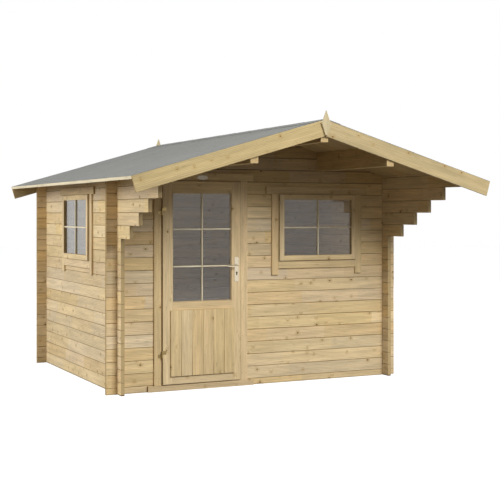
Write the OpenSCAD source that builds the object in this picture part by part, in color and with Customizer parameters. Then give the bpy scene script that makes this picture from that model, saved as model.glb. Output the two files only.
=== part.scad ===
// Log cabin with a glazed door, two windows and a deep front canopy on stepped corbel logs.
// X runs along the front, Y from front to back, Z up. The origin is on the ground, under the middle of the roof.

/* [Logs] */
// Height of one log course, joint to joint
log_h = 114.8; // [112:0.1:126]
// Thickness of the wall logs
log_t = 34; // [28:1:45]
// Reach of a log's end past the crossing wall
log_end = 100; // [60:1:150]
// Chamfer on the long edges of a log
log_chamfer = 4; // [2:0.5:6]
// Width of the tongue along the top of a log
tongue_w = 10; // [8:0.5:12]
// Height of the tongue
tongue_h = 7; // [5:0.5:10]
// Log courses in a side wall
courses = 17; // [17:1:19]
// Top logs of a side wall that step forward under the canopy
corbels = 5; // [3:1:6]
// How far the bevelled top log rises above its course
top_log_rise = 9; // [5:1:20]

/* [Cabin] */
// Width over the outer faces of the side walls
wall_w = 2800; // [2700:10:3200]
// Depth over the outer faces of the front and back walls
wall_d = 2360; // [1900:10:2800]

/* [Roof] */
// Slope of the roof in degrees
roof_pitch = 16.2; // [14:0.1:20]
// Reach of the canopy from the front wall to the face of the front barge boards
front_overhang = 1250; // [1000:10:1400]
// Reach of the roof past the back wall
back_overhang = 250; // [180:10:400]
// Reach of the roof past the side walls
eave_reach = 311; // [200:1:360]
// Thickness of the roof boarding
deck_t = 18; // [15:1:22]
// Thickness of the roofing felt
felt_t = 3; // [2:0.5:5]
// Width of the felt ridge cap on each slope
cap_w = 150; // [100:5:220]
// Width of the barge boards
barge_w = 134; // [110:1:150]
// Thickness of the barge boards
barge_t = 20; // [16:1:28]
// Depth of the trim strip along the eaves
eave_trim_h = 26; // [22:1:45]
// Thickness of the eave trim strip
eave_trim_t = 16; // [12:1:22]
// Width of a purlin
purlin_w = 70; // [45:1:90]
// Depth of a purlin at its middle
purlin_h = 170; // [140:1:190]
// Distance of the side purlins from the ridge
purlin_x = 653; // [560:1:760]

/* [Finials] */
// Height of a finial's point above the ridge
finial_rise = 74; // [50:1:110]
// Depth of a finial's foot below the ridge
finial_drop = 134; // [110:1:160]
// Width of a finial at its shoulders
finial_w = 94; // [80:1:120]
// Width of a finial at the roof line
finial_neck = 54; // [40:1:60]
// Width of a finial's blunt foot
finial_foot = 18; // [10:1:30]
// Depth of the shoulders below the ridge
finial_shoulder = 30; // [20:1:50]
// Thickness of a finial
finial_t = 18; // [12:1:25]

/* [Trim boards] */
// Width of the trim boards round the door and the windows
trim_w = 70; // [50:1:80]
// Thickness of the trim boards
trim_t = 18; // [14:1:22]
// Reach of a head trim past the side trims
trim_ear = 60; // [30:1:80]
// Reach of a window's side trims below its bottom trim
trim_tail = 60; // [30:1:90]

/* [Door] */
// Distance of the door's middle from the outer face of the left wall
door_from_left = 805; // [740:1:900]
// Width of the door leaf
leaf_w = 774; // [720:1:820]
// Height of the underside of the leaf
leaf_z = 61; // [60:1:80]
// Height of the top of the leaf
leaf_top = 1893; // [1780:1:1900]
// Thickness of the door leaf
leaf_t = 40; // [36:1:48]
// How far the leaf stands out from the wall
leaf_proud = 35; // [28:1:40]
// Width of the leaf's stiles
stile_w = 95; // [80:1:110]
// Height of the leaf's top rail
top_rail = 106; // [80:1:120]
// Height of the leaf's bottom rail
bottom_rail = 94; // [70:1:120]
// Height of the lower edge of the door's glass opening
glass_z = 798; // [760:1:900]
// Height of the leaf's middle rail
mid_rail = 95; // [80:1:120]
// Overlap of the boarded panel on the leaf's frame
panel_lap = 24; // [15:1:35]
// How far the boarded panel stands out from the leaf's frame
panel_proud = 16; // [8:1:20]
// Height of the sill board in front of the threshold
sill_h = 54; // [40:1:56]
// Depth of the sill board, front to back
sill_t = 24; // [18:1:30]

/* [Windows] */
// Distance of the front window's middle from the outer face of the right wall
window_from_right = 782; // [700:1:850]
// Width between a window's side trims
window_w = 844; // [700:1:880]
// Height between a window's head and bottom trims
window_h = 634; // [500:1:650]
// Distance of a window's head below the lowest gable log
window_drop = 110; // [70:1:200]
// Width of the sash members
sash_w = 49; // [40:1:60]
// Thickness of the sash
sash_t = 40; // [34:1:46]

/* [Joinery] */
// Thickness of the linings in the door and window openings
lining_t = 30; // [20:1:34]
// Width of the stop behind a sash or the leaf
stop_w = 15; // [10:1:20]
// Thickness of the glass
pane_t = 4; // [3:0.5:6]
// Depth of the groove that holds the glass
pane_groove = 10; // [6:0.5:14]

/* [Door furniture] */
// Distance of the lever's spindle from the leaf's edge
lever_backset = 44; // [38:1:50]
// Height of the lever's spindle
lever_z = 1117; // [1000:1:1150]
// Length of the lever from its spindle to its tip
lever_len = 110; // [90:1:125]
// Height of the lever's bar
lever_h = 16; // [14:1:20]
// Thickness of the lever's bar
lever_t = 12; // [10:1:16]
// Diameter of the lever's hub
hub_d = 20; // [18:1:26]
// Clear space between the lever and the lock plate
lever_reach = 34; // [28:1:45]
// Diameter of the lever's neck
neck_d = 16; // [14:0.5:19]
// Width of the lock plate
plate_w = 44; // [38:1:50]
// Height of the lock plate
plate_h = 228; // [200:1:250]
// Thickness of the lock plate
plate_t = 4; // [3:0.5:6]
// Reach of the lock plate above the spindle
plate_rise = 81; // [60:1:100]
// Diameter of the hinge knuckles
knuckle_d = 12; // [10:0.5:12]
// Diameter of the hinge pin
pin_d = 6; // [4:0.5:7]
// Length of one knuckle
knuckle_h = 32; // [25:1:50]
// Height of the lower hinge above the leaf's underside
hinge_low = 240; // [150:5:400]
// Distance of the upper hinge below the leaf's top
hinge_high = 240; // [150:5:400]
// Width of the hinge flags
flag_w = 32; // [25:1:40]
// Thickness of the hinge flags
flag_t = 3; // [2:0.5:4]

/* [Floor] */
// Number of floor bearers
bearers = 5; // [4:1:7]
// Width of a floor bearer
bearer_w = 58; // [40:1:80]
// Height of a floor bearer
bearer_h = 40; // [34:1:45]
// Thickness of the floor boarding
floor_t = 18; // [16:1:28]
// Gap between the floor and the walls
floor_gap = 5; // [3:1:12]

/* [Clearances] */
// Gap between pieces that seat on each other
fit = 0.3; // [0.2:0.05:0.5]
// Gap between the leaf and its opening, sides and top
leaf_gap = 7; // [6:0.5:9]
// Gap between the closed leaf and the stop behind it
stop_gap = 5; // [5:0.5:8]
// Gap between a sash and its opening
sash_gap = 3; // [2:0.5:5]
// Distance of the hinge axis from the edge of the leaf
hinge_side = 6; // [6:0.5:8]
// Distance of the hinge axis from the face of the leaf
hinge_front = 7; // [7:0.5:9]

/* [Hidden] */
$fn = 48;

// How far a cutting block runs past what it cuts
cut = 2;

// Planes of the walls and of the roof's ends
half_w = wall_w / 2;
roof_end = (front_overhang + wall_d + back_overhang) / 2;
y_front = front_overhang - roof_end;
y_back = y_front + wall_d;
boarding_end = roof_end - barge_t - fit;

// Roof lines: the underside of the boarding meets the outer face of the side walls at the plate height
plate_z = courses * log_h + top_log_rise;
under_ridge = plate_z + half_w * tan(roof_pitch);
ridge_z = under_ridge + deck_t / cos(roof_pitch);
eave_run = (half_w + eave_reach) / cos(roof_pitch);
felt_base = fit;
cap_base = felt_base + felt_t + fit;

// Gable rows carry on the half-course stagger of the front and back walls
gable_z = (courses - 0.5) * log_h;
gable_rows = max(1, round((under_ridge - gable_z) / log_h));
corbel_step = (boarding_end + y_front - log_end) / corbels;

// Door and window places
door_x = door_from_left - half_w;
front_window_x = half_w - window_from_right;
left_window_y = (y_front + y_back) / 2;
window_head = gable_z - window_drop;
window_z = window_head - window_h;
leaf_y = y_front - leaf_proud;
leaf_left = door_x - leaf_w / 2;
leaf_right = door_x + leaf_w / 2;
door_head = leaf_top + leaf_gap;
door_half = leaf_w / 2 + leaf_gap;
door_foot = log_h / 2;
stop_y = leaf_y + leaf_t + stop_gap;
glass_top = leaf_top - top_rail;
panel_top = glass_z - mid_rail;
panel_bottom = leaf_z + bottom_rail;
pane_y = leaf_t / 2 - pane_t / 2;
lever_x = leaf_right - lever_backset;
hinge_x = leaf_left - hinge_side;
hinge_y = leaf_y - hinge_front;
hinge_levels = [leaf_z + hinge_low, leaf_top - hinge_high - 2 * knuckle_h];

spruce = [0.83, 0.72, 0.53];
shaded_spruce = [0.62, 0.49, 0.33];
felt_grey = [0.45, 0.46, 0.47];
pane_grey = [0.62, 0.64, 0.68, 0.5];
zinc = [0.78, 0.76, 0.72];

// Height of the underside of the roof boarding over a point x
function under_roof(x) = under_ridge - abs(x) * tan(roof_pitch);

// Point on the right-hand slope: run along the boarding's top from the ridge, rise square to it
function on_slope(run, rise) = [
    run * cos(roof_pitch) + rise * sin(roof_pitch),
    ridge_z - run * sin(roof_pitch) + rise * cos(roof_pitch)];

// Point of a roof layer at the upright ridge joint, where the layer starts
function at_ridge(rise) = [fit / 2, ridge_z + rise / cos(roof_pitch) - fit / 2 * tan(roof_pitch)];

// Section of a tongued, grooved and chamfered log, its thickness along x and its foot at y = 0
function log_outline(h, tongued, grooved) =
    let (
        face = log_t / 2,
        edge = face - log_chamfer,
        groove = tongue_w / 2 + fit,
        groove_top = tongue_h + fit)
    concat(
        [[-edge, 0]],
        grooved ? [[-groove, 0], [-groove, groove_top], [groove, groove_top], [groove, 0]] : [],
        [[edge, 0], [face, log_chamfer], [face, h - log_chamfer], [edge, h]],
        tongued ? [[tongue_w / 2, h], [tongue_w / 2, h + tongue_h],
            [-tongue_w / 2, h + tongue_h], [-tongue_w / 2, h]] : [],
        [[-edge, h], [-face, h - log_chamfer], [-face, log_chamfer]]);

// Section of the right wall's top log, bevelled to the underside of the boarding
function plate_outline(foot) =
    let (
        face = log_t / 2,
        edge = face - log_chamfer,
        groove = tongue_w / 2 + fit,
        groove_top = tongue_h + fit)
    [[-edge, 0], [-groove, 0], [-groove, groove_top], [groove, groove_top], [groove, 0], [edge, 0],
        [face, log_chamfer], [face, under_roof(half_w) - fit - foot],
        [-face, under_roof(half_w - log_t) - fit - foot], [-face, log_chamfer]];

// Reach of side log k in front of the front wall: the top ones step forward as corbels
function front_reach(k) = log_end + corbel_step * max(0, k - (courses - 1 - corbels));

// The top log also runs back to the back barge boards
function back_reach(k) = k == courses - 1 ? boarding_end - y_back : log_end;

// Sweeps a section drawn in (y, z) along X
module along_x(x0, x1) {
    translate([x0, 0, 0])
        rotate([90, 0, 90])
            linear_extrude(x1 - x0)
                children();
}

// Sweeps a section drawn in (x, z) along Y
module along_y(y0, y1) {
    translate([0, y1, 0])
        rotate([90, 0, 0])
            linear_extrude(y1 - y0)
                children();
}

module block(x0, x1, y0, y1, z0, z1) {
    translate([x0, y0, z0])
        cube([x1 - x0, y1 - y0, z1 - z0]);
}

// Quarter-height notches above and below the neck that a log keeps where it crosses another wall
module corner_notches(x0, x1, y0, y1, foot, neck_low, neck_high) {
    block(x0 - fit, x1 + fit, y0 - fit, y1 + fit, foot - cut, neck_low + fit / 2);
    block(x0 - fit, x1 + fit, y0 - fit, y1 + fit, neck_high - fit / 2, foot + 2 * log_h);
}

// Right side wall log k, notched over the front and back walls
module side_log(k) {
    foot = k * log_h;
    outline = k == courses - 1 ? plate_outline(foot) : log_outline(log_h - fit, true, k > 0);
    difference() {
        translate([half_w - log_t / 2, 0, foot])
            along_y(y_front - front_reach(k), y_back + back_reach(k))
                polygon(outline);
        for (y = [y_front, y_back - log_t])
            corner_notches(half_w - log_t - cut, half_w + cut, y, y + log_t,
                foot, foot + log_h / 4, foot + 3 * log_h / 4);
    }
}

module side_wall() {
    for (k = [0 : courses - 1])
        side_log(k);
}

// Front or back wall log j between two x places: course 0 is a half log on the ground
module cross_log(j, y, x0, x1) {
    foot = j == 0 ? 0 : (j - 0.5) * log_h;
    top = (j + 0.5) * log_h - fit;
    difference() {
        translate([0, y + log_t / 2, foot])
            along_x(x0, x1)
                polygon(log_outline(top - foot, true, j > 0));
        for (x = [-half_w, half_w - log_t])
            corner_notches(x, x + log_t, y - cut, y + log_t + cut,
                foot, (j - 0.25) * log_h, (j + 0.25) * log_h);
    }
}

module cross_wall(y, x0, x1) {
    for (j = [1 : courses - 1])
        cross_log(j, y, x0, x1);
}

// Everything under the roof boarding
module roof_space() {
    reach = half_w + log_end + cut;
    along_y(-roof_end, roof_end)
        polygon([[-reach, 0], [reach, 0], [reach, under_roof(reach) - fit],
            [0, under_ridge - fit], [-reach, under_roof(reach) - fit]]);
}

// Section of a side purlin on the right-hand slope, grown by an allowance
module side_purlin_section(grow) {
    low = under_roof(purlin_x) - purlin_h - grow;
    x0 = purlin_x - purlin_w / 2 - grow;
    x1 = purlin_x + purlin_w / 2 + grow;
    polygon([[x0, low], [x1, low], [x1, under_roof(x1) - fit + grow], [x0, under_roof(x0) - fit + grow]]);
}

module ridge_purlin_section(grow) {
    low = under_ridge - purlin_h - grow;
    x1 = purlin_w / 2 + grow;
    shoulder = under_roof(x1) - fit + grow;
    polygon([[-x1, low], [x1, low], [x1, shoulder], [0, under_ridge - fit + grow], [-x1, shoulder]]);
}

module purlin_slots() {
    along_y(-roof_end, roof_end) {
        ridge_purlin_section(fit);
        side_purlin_section(fit);
        mirror([1, 0])
            side_purlin_section(fit);
    }
}

// Gable logs, cut to the roof slope and slotted for the purlins; the top row runs up to the ridge
module gable(y) {
    reach = half_w + log_end;
    difference() {
        intersection() {
            for (i = [0 : gable_rows - 1]) {
                foot = gable_z + i * log_h;
                last = i == gable_rows - 1;
                height = last ? under_ridge - foot + log_h : log_h - fit;
                translate([0, y + log_t / 2, foot])
                    along_x(-reach, reach)
                        polygon(log_outline(height, !last, true));
            }
            roof_space();
        }
        purlin_slots();
        for (x = [-half_w, half_w - log_t])
            block(x - fit, x + log_t + fit, y - cut, y + log_t + cut,
                gable_z - cut, gable_z + log_h / 4 + fit / 2);
    }
}

// Hole through the front wall for the door and its lining
module door_hole() {
    block(door_x - door_half - lining_t - fit, door_x + door_half + lining_t + fit,
        y_front - cut, y_front + log_t + cut, door_foot - fit, door_head + lining_t + fit);
}

// Places a window drawn round x = 0 with the wall's outer face at y = 0
module at_front_window() {
    translate([front_window_x, y_front, 0])
        children();
}

module at_left_window() {
    translate([-half_w, left_window_y, 0])
        rotate([0, 0, -90])
            children();
}

module window_hole() {
    half = window_w / 2 + lining_t + fit;
    block(-half, half, -cut, log_t + cut, window_z - lining_t - fit, window_head + lining_t + fit);
}

// Two upright members with two rails between them, in the y range given
module frame_members(half, z0, z1, upright, rail_low, rail_high, y0, y1) {
    for (side = [-1, 1])
        block(side > 0 ? half - upright : -half, side > 0 ? half : upright - half, y0, y1, z0, z1);
    inner = half - upright - fit;
    block(-inner, inner, y0, y1, z0, z0 + rail_low);
    block(-inner, inner, y0, y1, z1 - rail_high, z1);
}

module window_lining() {
    half = window_w / 2;
    z0 = window_z;
    z1 = window_head;
    member = lining_t + stop_w;
    color(spruce)
        difference() {
            frame_members(half + lining_t, z0 - lining_t, z1 + lining_t, member, member, member, fit, log_t);
            block(-half, half, -cut, sash_t - leaf_proud + fit, z0, z1);
        }
}

module window_sash() {
    half = window_w / 2 - sash_gap;
    z0 = window_z + sash_gap;
    z1 = window_head - sash_gap;
    color(spruce)
        difference() {
            frame_members(half, z0, z1, sash_w, sash_w, sash_w, -leaf_proud, sash_t - leaf_proud);
            window_pane_block(fit);
        }
}

module window_pane_block(grow) {
    half = window_w / 2 - sash_gap - sash_w + pane_groove + grow;
    low = window_z + sash_gap + sash_w - pane_groove - grow;
    high = window_head - sash_gap - sash_w + pane_groove + grow;
    y0 = sash_t / 2 - leaf_proud - pane_t / 2 - grow;
    block(-half, half, y0, y0 + pane_t + 2 * grow, low, high);
}

module window_pane() {
    color(pane_grey)
        window_pane_block(0);
}

// Side trims with a head that runs past them and a bottom trim between them
module window_trim() {
    half = window_w / 2;
    color(spruce) {
        for (x = [-half - trim_w, half])
            block(x, x + trim_w, -trim_t, -fit, window_z - trim_w - trim_tail, window_head - fit);
        block(-half - trim_w - trim_ear, half + trim_w + trim_ear, -trim_t, -fit,
            window_head, window_head + trim_w);
        block(fit - half, half - fit, -trim_t, -fit, window_z - trim_w, window_z);
    }
}

module left_wall_logs() {
    color(spruce)
        difference() {
            mirror([1, 0, 0])
                side_wall();
            at_left_window()
                window_hole();
        }
}

module right_wall_logs() {
    color(spruce)
        side_wall();
}

module back_wall_logs() {
    color(spruce)
        for (j = [0 : courses - 1])
            cross_log(j, y_back - log_t, -half_w - log_end, half_w + log_end);
}

module front_sill_log() {
    color(spruce)
        difference() {
            cross_log(0, y_front, -half_w - log_end, half_w + log_end);
            door_hole();
        }
}

module front_wall_left_logs() {
    color(spruce)
        cross_wall(y_front, -half_w - log_end, door_x - door_half - lining_t - fit);
}

module front_wall_right_logs() {
    color(spruce)
        difference() {
            cross_wall(y_front, door_x + door_half + lining_t + fit, half_w + log_end);
            at_front_window()
                window_hole();
        }
}

module front_gable_logs() {
    color(spruce)
        difference() {
            gable(y_front);
            door_hole();
        }
}

module back_gable_logs() {
    color(spruce)
        gable(y_back - log_t);
}

module ridge_purlin() {
    color(shaded_spruce)
        along_y(-boarding_end, boarding_end)
            ridge_purlin_section(0);
}

module right_purlin() {
    color(shaded_spruce)
        along_y(-boarding_end, boarding_end)
            side_purlin_section(0);
}

module left_purlin() {
    mirror([1, 0, 0])
        right_purlin();
}

// Section of a roof layer on the right-hand slope between two heights above the boarding's top
module roof_layer(run, low, high) {
    polygon([at_ridge(high), on_slope(run, high), on_slope(run, low), at_ridge(low)]);
}

module right_roof_deck() {
    color(shaded_spruce)
        along_y(-boarding_end, boarding_end)
            roof_layer(eave_run - eave_trim_t - fit, -deck_t, 0);
}

module left_roof_deck() {
    mirror([1, 0, 0])
        right_roof_deck();
}

module right_roof_felt() {
    color(felt_grey)
        along_y(-roof_end, roof_end)
            roof_layer(eave_run, felt_base, felt_base + felt_t);
}

module left_roof_felt() {
    mirror([1, 0, 0])
        right_roof_felt();
}

module ridge_cap() {
    low = on_slope(cap_w, cap_base);
    high = on_slope(cap_w, cap_base + felt_t);
    low_ridge = [0, ridge_z + cap_base / cos(roof_pitch)];
    high_ridge = [0, ridge_z + (cap_base + felt_t) / cos(roof_pitch)];
    color(felt_grey)
        along_y(-roof_end, roof_end)
            polygon([low, high, high_ridge, [-high.x, high.y], [-low.x, low.y], low_ridge]);
}

// Barge board of the right-hand slope, its outer end cut square to the board
module barge(y) {
    color(spruce)
        along_y(y, y + barge_t)
            roof_layer(eave_run, -barge_w, 0);
}

module front_right_barge() {
    barge(-roof_end);
}

module front_left_barge() {
    mirror([1, 0, 0])
        barge(-roof_end);
}

module back_right_barge() {
    barge(roof_end - barge_t);
}

module back_left_barge() {
    mirror([1, 0, 0])
        barge(roof_end - barge_t);
}

// Spearhead board over the mitre of two barge boards
module finial(y) {
    right = [[finial_neck / 2, 0], [finial_w / 2, -finial_shoulder], [finial_foot / 2, -finial_drop]];
    left = [for (i = [2 : -1 : 0]) [-right[i].x, right[i].y]];
    color(spruce)
        translate([0, 0, ridge_z])
            along_y(y, y + finial_t)
                polygon(concat([[0, finial_rise]], right, left));
}

module front_finial() {
    finial(-roof_end - fit - finial_t);
}

module back_finial() {
    finial(roof_end + fit);
}

module right_eave_trim() {
    run = eave_run - eave_trim_t;
    color(spruce)
        along_y(-boarding_end, boarding_end)
            polygon([on_slope(run, 0), on_slope(eave_run, 0),
                on_slope(eave_run, -eave_trim_h), on_slope(run, -eave_trim_h)]);
}

module left_eave_trim() {
    mirror([1, 0, 0])
        right_eave_trim();
}

// Lining of the doorway with its stop, and a threshold on the sill log
module door_frame() {
    outer = door_half + lining_t;
    member = lining_t + stop_w;
    color(spruce)
        translate([door_x, 0, 0])
            difference() {
                frame_members(outer, door_foot, door_head + lining_t, member,
                    leaf_z - door_foot + stop_w, member, y_front + fit, y_front + log_t);
                block(-door_half, door_half, y_front - cut, stop_y, door_foot - cut, door_head);
            }
}

module door_sill() {
    half = door_half + trim_w + trim_ear;
    color(spruce)
        block(door_x - half, door_x + half, y_front - sill_t, y_front - fit, 0, sill_h);
}

module door_architrave() {
    color(spruce)
        translate([door_x, 0, 0]) {
            for (x = [-door_half - trim_w, door_half])
                block(x, x + trim_w, y_front - trim_t, y_front - fit, sill_h + fit, door_head - fit);
            half = door_half + trim_w + trim_ear;
            block(-half, half, y_front - trim_t, y_front - fit, door_head, door_head + trim_w);
        }
}

// Stiles and rails of the leaf, grooved for the pane and bored for the lever's spindle
module door_leaf_frame() {
    inner = leaf_w / 2 - stile_w - fit;
    color(spruce)
        difference() {
            translate([door_x, 0, 0]) {
                frame_members(leaf_w / 2, leaf_z, leaf_top, stile_w, bottom_rail, top_rail,
                    leaf_y, leaf_y + leaf_t);
                block(-inner, inner, leaf_y, leaf_y + leaf_t, panel_top, glass_z);
            }
            door_pane_block(fit);
            translate([lever_x, leaf_y - cut, lever_z])
                rotate([-90, 0, 0])
                    cylinder(d = neck_d + 2 * fit, h = leaf_t + 2 * cut);
        }
}

module door_pane_block(grow) {
    half = leaf_w / 2 - stile_w + pane_groove + grow;
    y0 = leaf_y + pane_y - grow;
    block(door_x - half, door_x + half, y0, y0 + pane_t + 2 * grow,
        glass_z - pane_groove - grow, glass_top + pane_groove + grow);
}

module door_glass() {
    color(pane_grey)
        door_pane_block(0);
}

// Boarded panel: a core in the leaf's lower opening and a face that laps over the frame
module door_panel() {
    core = leaf_w / 2 - stile_w - fit;
    face = leaf_w / 2 - stile_w + panel_lap;
    color(spruce)
        translate([door_x, 0, 0]) {
            block(-core, core, leaf_y - panel_proud, leaf_y + leaf_t / 2,
                panel_bottom + fit, panel_top - fit);
            block(-face, face, leaf_y - panel_proud, leaf_y - fit,
                panel_bottom - panel_lap, panel_top + panel_lap);
        }
}

// Fixed hinge halves: a cranked flag on the trim board, the lower knuckle and its pin
module door_hinge_flags() {
    trim_face = y_front - trim_t;
    trim_edge = door_x - door_half;
    color(zinc)
        for (z = hinge_levels) {
            block(trim_edge - flag_w, hinge_x, trim_face - fit - flag_t, trim_face - fit, z, z + knuckle_h);
            block(hinge_x - flag_t, hinge_x, hinge_y, trim_face - fit, z, z + knuckle_h);
            translate([hinge_x, hinge_y, z])
                cylinder(d = knuckle_d, h = knuckle_h);
            translate([hinge_x, hinge_y, z])
                cylinder(d = pin_d, h = 2 * knuckle_h - pin_d);
        }
}

// Moving hinge halves: the upper knuckle, bored to sit over the pin, and a flag on the leaf's face
module door_hinge_knuckles() {
    color(zinc)
        for (z = hinge_levels)
            translate([0, 0, z + knuckle_h + fit])
                difference() {
                    union() {
                        translate([hinge_x, hinge_y, 0])
                            cylinder(d = knuckle_d, h = knuckle_h);
                        block(hinge_x, leaf_left + flag_w, leaf_y - fit - flag_t, leaf_y - fit, 0, knuckle_h);
                    }
                    translate([hinge_x, hinge_y, -cut])
                        cylinder(d = pin_d + 2 * fit, h = knuckle_h - pin_d + 2 * cut);
                }
}

// Lock plates on both faces of the leaf, bored for the lever's necks
module door_lock_plates() {
    color(zinc)
        for (y = [leaf_y - fit - plate_t, leaf_y + leaf_t + fit])
            difference() {
                block(lever_x - plate_w / 2, lever_x + plate_w / 2, y, y + plate_t,
                    lever_z + plate_rise - plate_h, lever_z + plate_rise);
                translate([lever_x, y - cut, lever_z])
                    rotate([-90, 0, 0])
                        cylinder(d = neck_d + 2 * fit, h = plate_t + 2 * cut);
            }
}

// Both levers on one spindle: a round neck through the leaf with a bar at each end
module door_lever() {
    stand = fit + plate_t + lever_reach;
    color(zinc)
        translate([lever_x, 0, lever_z]) {
            translate([0, leaf_y - stand, 0])
                rotate([-90, 0, 0])
                    cylinder(d = neck_d, h = leaf_t + 2 * stand);
            for (y = [leaf_y - stand - lever_t, leaf_y + leaf_t + stand])
                along_y(y, y + lever_t)
                    lever_outline();
        }
}

module lever_outline() {
    circle(d = hub_d);
    translate([lever_h / 2 - lever_len, 0])
        circle(d = lever_h);
    translate([lever_h / 2 - lever_len, -lever_h / 2])
        square([lever_len - lever_h / 2, lever_h]);
}

module front_window_frame() {
    at_front_window()
        window_lining();
}

module front_window_sash() {
    at_front_window()
        window_sash();
}

module front_window_glass() {
    at_front_window()
        window_pane();
}

module front_window_architrave() {
    at_front_window()
        window_trim();
}

module left_window_frame() {
    at_left_window()
        window_lining();
}

module left_window_sash() {
    at_left_window()
        window_sash();
}

module left_window_glass() {
    at_left_window()
        window_pane();
}

module left_window_architrave() {
    at_left_window()
        window_trim();
}

// Bearers from the front sill log to the back one, evenly spaced between the side walls
module floor_bearers() {
    half = half_w - log_t - floor_gap;
    step = (2 * half - bearer_w) / (bearers - 1);
    color(shaded_spruce)
        for (i = [0 : bearers - 1])
            block(i * step - half, i * step - half + bearer_w,
                y_front + log_t + fit, y_back - log_t - fit, 0, bearer_h);
}

module floor_deck() {
    half = half_w - log_t - floor_gap;
    color(spruce)
        block(-half, half, y_front + log_t + floor_gap, y_back - log_t - floor_gap,
            bearer_h + fit, bearer_h + fit + floor_t);
}

left_wall_logs();
right_wall_logs();
back_wall_logs();
front_sill_log();
front_wall_left_logs();
front_wall_right_logs();
front_gable_logs();
back_gable_logs();
ridge_purlin();
left_purlin();
right_purlin();
left_roof_deck();
right_roof_deck();
left_roof_felt();
right_roof_felt();
ridge_cap();
front_left_barge();
front_right_barge();
back_left_barge();
back_right_barge();
front_finial();
back_finial();
left_eave_trim();
right_eave_trim();
door_frame();
door_sill();
door_architrave();
door_leaf_frame();
door_panel();
door_glass();
door_hinge_flags();
door_hinge_knuckles();
door_lock_plates();
door_lever();
front_window_frame();
front_window_sash();
front_window_glass();
front_window_architrave();
left_window_frame();
left_window_sash();
left_window_glass();
left_window_architrave();
floor_bearers();
floor_deck();
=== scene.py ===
"""Log cabin: its timber, felt, glass and fittings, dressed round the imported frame.

Metres, with Z up and the front towards -Y.
"""

import itertools
import math

import bmesh
import bpy
import numpy as np
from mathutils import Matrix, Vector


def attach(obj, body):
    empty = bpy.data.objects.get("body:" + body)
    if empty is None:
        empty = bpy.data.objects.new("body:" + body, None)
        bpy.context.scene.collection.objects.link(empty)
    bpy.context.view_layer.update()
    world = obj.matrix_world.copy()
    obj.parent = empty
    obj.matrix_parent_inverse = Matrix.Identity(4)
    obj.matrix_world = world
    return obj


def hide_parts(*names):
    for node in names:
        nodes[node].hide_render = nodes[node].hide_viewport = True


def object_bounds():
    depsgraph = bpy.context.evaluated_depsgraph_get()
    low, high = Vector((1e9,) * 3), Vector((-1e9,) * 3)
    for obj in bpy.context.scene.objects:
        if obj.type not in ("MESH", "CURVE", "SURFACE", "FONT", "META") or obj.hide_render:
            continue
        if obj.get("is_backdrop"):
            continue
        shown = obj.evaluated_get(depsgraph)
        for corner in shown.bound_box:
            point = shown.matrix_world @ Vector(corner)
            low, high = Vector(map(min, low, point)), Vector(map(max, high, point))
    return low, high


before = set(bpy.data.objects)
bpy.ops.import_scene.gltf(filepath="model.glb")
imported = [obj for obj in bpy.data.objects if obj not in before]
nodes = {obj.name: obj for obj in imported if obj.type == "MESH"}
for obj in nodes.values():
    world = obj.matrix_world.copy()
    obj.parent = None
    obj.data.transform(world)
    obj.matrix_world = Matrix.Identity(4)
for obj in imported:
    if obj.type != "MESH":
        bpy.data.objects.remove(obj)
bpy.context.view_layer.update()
rng = np.random.default_rng(17)
X, Y, Z = np.eye(3)

# Sizes shared with the part's source
FIT = 0.0003
LOG_H = 0.1148
LOG_T = 0.034
COURSES = 17
TOP_LOG_RISE = 0.009
WALL_W = 2.8
WALL_D = 2.36
PITCH = math.radians(16.2)
FRONT_OVERHANG = 1.25
BACK_OVERHANG = 0.25
EAVE_REACH = 0.311
DECK_T = 0.018
CAP_W = 0.15
BARGE_W = 0.134
BARGE_T = 0.02
EAVE_TRIM_H = 0.026
EAVE_TRIM_T = 0.016
FINIAL_RISE = 0.074
FINIAL_DROP = 0.134
FINIAL_W = 0.094
FINIAL_NECK = 0.054
FINIAL_FOOT = 0.018
FINIAL_SHOULDER = 0.03
FINIAL_T = 0.018
TRIM_W = 0.07
TRIM_T = 0.018
TRIM_EAR = 0.06
TRIM_TAIL = 0.06
DOOR_FROM_LEFT = 0.805
LEAF_W = 0.774
LEAF_FOOT = 0.061
LEAF_HEAD = 1.893
LEAF_T = 0.04
LEAF_PROUD = 0.035
LEAF_GAP = 0.007
STILE_W = 0.095
TOP_RAIL = 0.106
BOTTOM_RAIL = 0.094
MID_RAIL = 0.095
GLASS_FOOT = 0.798
PANEL_LAP = 0.024
PANEL_PROUD = 0.016
SILL_H = 0.054
SILL_T = 0.024
WINDOW_FROM_RIGHT = 0.782
WINDOW_W = 0.844
WINDOW_H = 0.634
WINDOW_DROP = 0.11
SASH_W = 0.049
SASH_GAP = 0.003
STOP_W = 0.015
PANE_T = 0.004
LEVER_BACKSET = 0.044
LEVER_Z = 1.117
LEVER_LEN = 0.11
LEVER_T = 0.012
LEVER_REACH = 0.034
NECK_D = 0.016
PLATE_W = 0.044
PLATE_H = 0.228
PLATE_T = 0.004
PLATE_RISE = 0.081
BEARER_H = 0.04
FLOOR_T = 0.018
FLOOR_GAP = 0.005

# Gaps of the scene's own: between pieces that meet, and one too fine to see
GAP = 0.0005
HAIR = 0.0002

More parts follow.
